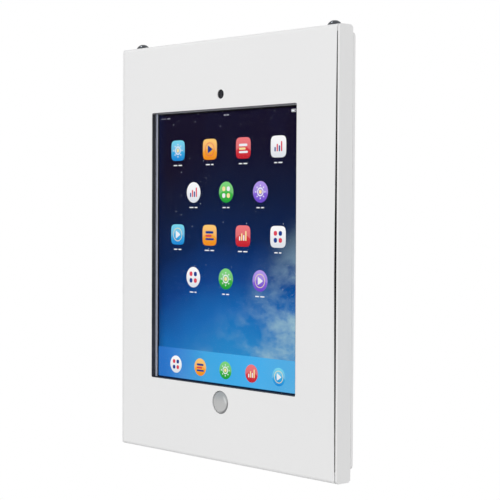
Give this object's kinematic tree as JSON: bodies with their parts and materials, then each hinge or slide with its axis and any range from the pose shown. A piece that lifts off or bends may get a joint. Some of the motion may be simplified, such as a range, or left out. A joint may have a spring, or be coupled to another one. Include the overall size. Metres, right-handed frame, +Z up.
{
  "type": "tablet wall mount",
  "caption": "White folded-steel wall mount that locks a tablet behind a tilting front cover with a display window, a camera hole and a home key cap.",
  "frame": {"origin": "centre of the wall plate's back face, which is also the centre of the four wall screw holes", "axes": "+Z up, the screen faces -Y, the wall touches the plate at y = 0, +X is the viewer's right when facing the screen"},
  "size_m": [0.225, 0.0155, 0.3059],
  "materials": {
    "white_coat": "smooth satin powder coat",
    "zinc_steel": "zinc plated",
    "dark_steel": "dark polished",
    "black_foam": "matt closed-cell foam",
    "black_rubber": "matt",
    "tablet_metal": "fine blasted",
    "clear_glass": "polished",
    "white_paint": "gloss behind glass",
    "panel_black": "gloss",
    "battery_grey": "matt",
    "board_green": "satin",
    "key_white": "gloss",
    "frosted_clear": "frosted translucent",
    "dark_plastic": "matt",
    "ink_navy": "lit picture",
    "ink_sky": "lit picture",
    "ink_green": "lit picture",
    "ink_white": "lit picture",
    "ink_red": "lit picture",
    "ink_amber": "lit picture",
    "ink_cyan": "lit picture",
    "ink_violet": "lit picture"
  },
  "bodies": {
    "mount": {"wall_plate": "white_coat", "rear_case": "white_coat", "case_screws": "zinc_steel", "lock_screws": "dark_steel", "lock_nuts": "zinc_steel", "pivot_pins": "zinc_steel", "cable_grommet": "black_rubber", "tablet_shelves": "white_coat", "shelf_pads": "black_foam", "back_pads": "black_foam", "foam_left": "black_foam", "foam_right": "black_foam", "foam_top": "black_foam", "tablet_shell": "tablet_metal", "tablet_glass": "clear_glass", "tablet_bezel": "white_paint", "tablet_display": "panel_black", "tablet_battery": "battery_grey", "tablet_board": "board_green", "tablet_camera": "panel_black", "home_switch": "zinc_steel", "screen_backdrop": "ink_navy", "screen_band": "ink_sky", "screen_tiles_green": "ink_green", "screen_tiles_white": "ink_white", "screen_tiles_red": "ink_red", "screen_tiles_amber": "ink_amber", "screen_tiles_cyan": "ink_cyan", "screen_tiles_violet": "ink_violet", "screen_marks_light": "ink_white", "screen_marks_dark": "ink_navy"},
    "cover": {"front_cover": "white_coat", "window_gasket": "black_foam", "camera_ring": "black_foam", "cap_retainer": "dark_plastic"},
    "key_cap": {"home_key_cap": "frosted_clear"},
    "home_key": {"tablet_home_key": "key_white"},
    "power_key": {"tablet_power_key": "tablet_metal"},
    "volume_key": {"tablet_volume_key": "tablet_metal"}
  },
  "joints": [
    {"name": "cover_tilt", "type": "hinge", "parent": "mount", "child": "cover", "pos_m": [0, -0.0072, -0.148], "axis": [1, 0, 0], "range_deg": [0, 80]},
    {"name": "cap_press", "type": "slide", "parent": "cover", "child": "key_cap", "axis": [0, 1, 0], "range_m": [0, 0.0006], "stiffness_N_per_m": 400},
    {"name": "home_press", "type": "slide", "parent": "mount", "child": "home_key", "axis": [0, 1, 0], "range_m": [0, 0.0003], "stiffness_N_per_m": 400},
    {"name": "power_press", "type": "slide", "parent": "mount", "child": "power_key", "axis": [0, 0, -1], "range_m": [0, 0.0003], "stiffness_N_per_m": 400},
    {"name": "volume_press", "type": "slide", "parent": "mount", "child": "volume_key", "axis": [-1, 0, 0], "range_m": [0, 0.0003], "stiffness_N_per_m": 400}
  ],
  "couplings": [
    {"joint": "home_press", "follows": "cap_press", "ratio": 0.5}
  ]
}
